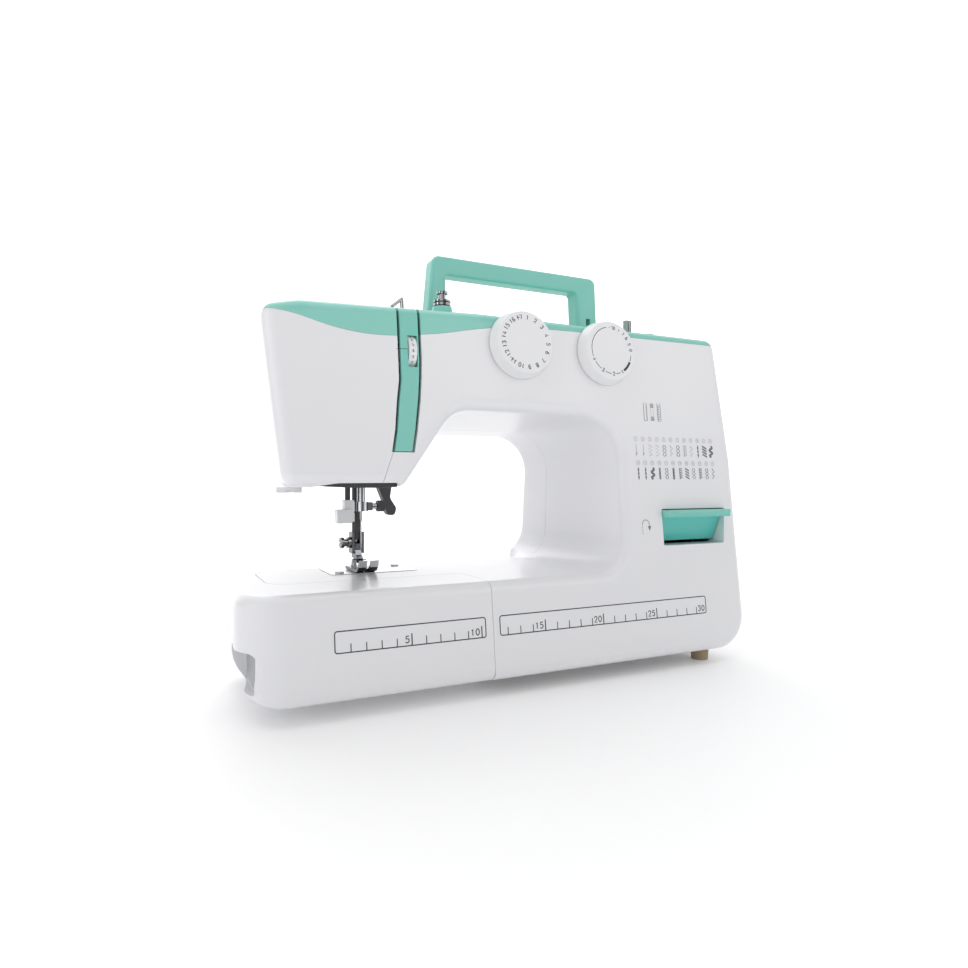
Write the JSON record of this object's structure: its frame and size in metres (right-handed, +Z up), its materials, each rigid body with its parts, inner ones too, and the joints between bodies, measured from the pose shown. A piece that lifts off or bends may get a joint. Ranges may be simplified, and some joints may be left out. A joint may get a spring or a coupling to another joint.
{
  "type": "sewing machine",
  "caption": "Household free-arm sewing machine with fold-down carrying handle, extension table, pattern and stitch-length dials, reverse lever and handwheel.",
  "frame": {"origin": "centre of the bottom of the bounding box, on the surface the machine stands on", "axes": "+X to the operator's right, towards the handwheel; +Y away from the operator; +Z up"},
  "size_m": [0.4276, 0.172, 0.3192],
  "materials": {
    "white_plastic": "glossy moulded",
    "green_plastic": "satin moulded",
    "black_plastic": "matte moulded",
    "grey_plastic": "matte moulded",
    "chrome": "polished plating",
    "steel": "ground",
    "casting": "as cast",
    "bronze": "sintered",
    "rubber": "tan rubber",
    "belt_rubber": "black rubber",
    "lens": "clear lens",
    "board": "printed board"
  },
  "bodies": {
    "frame": {"machine_frame": "casting", "base_plate": "grey_plastic", "front_cover": "white_plastic", "rear_cover": "white_plastic", "face_cover": "white_plastic", "top_cover": "green_plastic", "thread_channel_cover": "green_plastic", "free_arm_cover": "white_plastic", "needle_plate": "chrome", "top_thread_guides": "chrome", "top_posts": "green_plastic", "motor": "steel", "hook_race": "casting", "shaft_bushes": "bronze", "inner_brackets": "steel", "lamp": "lens", "thread_cutter": "white_plastic", "power_sockets": "black_plastic", "control_board": "board", "rubber_feet": "rubber", "screws": "steel", "hinge_pins": "steel", "drive_belts": "belt_rubber", "presser_spring": "steel", "tension_discs": "chrome", "bobbin_case": "chrome"},
    "upper_drive": {"main_shaft": "steel", "upper_pulleys": "black_plastic", "handwheel": "white_plastic"},
    "lower_drive": {"lower_shaft": "steel"},
    "motor_rotor": {"motor_pulley": "steel"},
    "needle_bar": {"needle_bar": "chrome", "needle_clamp": "chrome", "needle": "chrome"},
    "clamp_screw": {"needle_clamp_screw": "chrome", "needle_clamp_knob": "black_plastic"},
    "presser_bar": {"presser_bar": "steel", "presser_foot_holder": "chrome", "presser_foot": "chrome"},
    "foot_screw": {"presser_foot_screw": "chrome"},
    "presser_lifter": {"presser_lifter": "black_plastic"},
    "take_up": {"take_up_lever": "chrome"},
    "threader": {"threader_rod": "black_plastic", "needle_threader": "white_plastic"},
    "reverse": {"reverse_lever": "green_plastic"},
    "pattern_selector": {"pattern_dial": "white_plastic", "pattern_cam_shaft": "white_plastic"},
    "length_selector": {"stitch_length_dial": "white_plastic", "stitch_length_cam_shaft": "white_plastic"},
    "tension": {"tension_dial": "white_plastic"},
    "handle": {"carry_handle": "green_plastic"},
    "winder": {"winder_arm": "steel"},
    "winder_spindle": {"winder_spindle": "grey_plastic"},
    "spool": {"spool_pin": "chrome"},
    "table": {"extension_table": "white_plastic"},
    "shuttle_door": {"shuttle_door": "white_plastic"},
    "bobbin": {"bobbin": "lens"},
    "hook": {"hook": "steel"},
    "feed": {"feed_dog": "chrome"},
    "power_rocker": {"power_rocker": "black_plastic"}
  },
  "joints": [
    {"name": "handwheel_turn", "type": "hinge", "parent": "frame", "child": "upper_drive", "pos_m": [0.17133, 0.0136, 0.219], "axis": [1, 0, 0], "continuous": true},
    {"name": "lower_shaft_turn", "type": "hinge", "parent": "frame", "child": "lower_drive", "pos_m": [0.04133, 0.0136, 0.047], "axis": [1, 0, 0], "continuous": true},
    {"name": "motor_turn", "type": "hinge", "parent": "frame", "child": "motor_rotor", "pos_m": [0.14133, -0.0254, 0.053], "axis": [1, 0, 0], "continuous": true},
    {"name": "needle_bar_slide", "type": "slide", "parent": "frame", "child": "needle_bar", "axis": [0, 0, -1], "range_m": [0, 0.028]},
    {"name": "clamp_screw_turn", "type": "hinge", "parent": "needle_bar", "child": "clamp_screw", "pos_m": [-0.10367, 0.0136, 0.1271], "axis": [1, 0, 0], "range_deg": [-360, 0]},
    {"name": "presser_bar_lift", "type": "slide", "parent": "frame", "child": "presser_bar", "axis": [0, 0, 1], "range_m": [0, 0.006], "deforming": ["presser_spring"]},
    {"name": "foot_screw_turn", "type": "hinge", "parent": "presser_bar", "child": "foot_screw", "pos_m": [-0.12067, 0.0266, 0.0986], "axis": [1, 0, 0], "range_deg": [-360, 0]},
    {"name": "presser_lifter_turn", "type": "hinge", "parent": "frame", "child": "presser_lifter", "pos_m": [-0.09867, 0.0392, 0.165], "axis": [0, -1, 0], "range_deg": [0, 50]},
    {"name": "take_up_swing", "type": "hinge", "parent": "frame", "child": "take_up", "pos_m": [-0.10967, 0.0006, 0.206], "axis": [1, 0, 0], "range_deg": [0, 32]},
    {"name": "threader_slide", "type": "slide", "parent": "frame", "child": "threader", "axis": [0, 0, -1], "range_m": [0, 0.012], "stiffness_N_per_m": 60},
    {"name": "reverse_lever_press", "type": "hinge", "parent": "frame", "child": "reverse", "pos_m": [0.13633, -0.0504, 0.111], "axis": [1, 0, 0], "range_deg": [0, 7], "stiffness_Nm_per_rad": 0.6, "springref_deg": -3.44},
    {"name": "pattern_dial_turn", "type": "hinge", "parent": "frame", "child": "pattern_selector", "pos_m": [-0.01667, -0.06014, 0.245], "axis": [0, -0.9936, 0.1133], "continuous": true},
    {"name": "stitch_length_turn", "type": "hinge", "parent": "frame", "child": "length_selector", "pos_m": [0.05833, -0.06014, 0.245], "axis": [0, -0.9936, 0.1133], "range_deg": [-90, 180]},
    {"name": "tension_dial_turn", "type": "hinge", "parent": "frame", "child": "tension", "pos_m": [-0.09997, -0.0514, 0.234], "axis": [1, 0, 0], "range_deg": [-130, 130]},
    {"name": "handle_fold", "type": "hinge", "parent": "frame", "child": "handle", "pos_m": [0.00833, -0.0034, 0.2756], "axis": [1, 0, 0], "range_deg": [-90, 0]},
    {"name": "winder_push", "type": "slide", "parent": "frame", "child": "winder", "axis": [1, 0, 0], "range_m": [0, 0.0045]},
    {"name": "winder_spin", "type": "hinge", "parent": "winder", "child": "winder_spindle", "pos_m": [0.12033, -0.0084, 0.271], "axis": [0, 0, 1], "continuous": true},
    {"name": "spool_pin_slide", "type": "slide", "parent": "frame", "child": "spool", "axis": [0, 0, 1], "range_m": [-0.015, 0]},
    {"name": "table_slide", "type": "slide", "parent": "frame", "child": "table", "axis": [-1, 0, 0], "range_m": [0, 0.17]},
    {"name": "shuttle_door_open", "type": "hinge", "parent": "frame", "child": "shuttle_door", "pos_m": [-0.11367, -0.0274, 0.0327], "axis": [1, 0, 0], "range_deg": [0, 80]},
    {"name": "bobbin_spin", "type": "hinge", "parent": "frame", "child": "bobbin", "pos_m": [-0.11367, -0.0134, 0.047], "axis": [0, 1, 0], "continuous": true},
    {"name": "hook_swing", "type": "hinge", "parent": "frame", "child": "hook", "pos_m": [-0.11367, -0.0034, 0.047], "axis": [0, 1, 0], "range_deg": [-105, 105]},
    {"name": "feed_slide", "type": "slide", "parent": "frame", "child": "feed", "axis": [0, 1, 0], "range_m": [-0.0015, 0.0015]},
    {"name": "power_rocker_press", "type": "hinge", "parent": "frame", "child": "power_rocker", "pos_m": [0.18133, -0.0124, 0.099], "axis": [0, 1, 0], "range_deg": [0, 10]}
  ],
  "couplings": [
    {"joint": "lower_shaft_turn", "follows": "handwheel_turn", "ratio": 1},
    {"joint": "motor_turn", "follows": "handwheel_turn", "ratio": 4},
    {"joint": "presser_lifter_turn", "follows": "presser_bar_lift", "rad_per_m": 145.44}
  ]
}
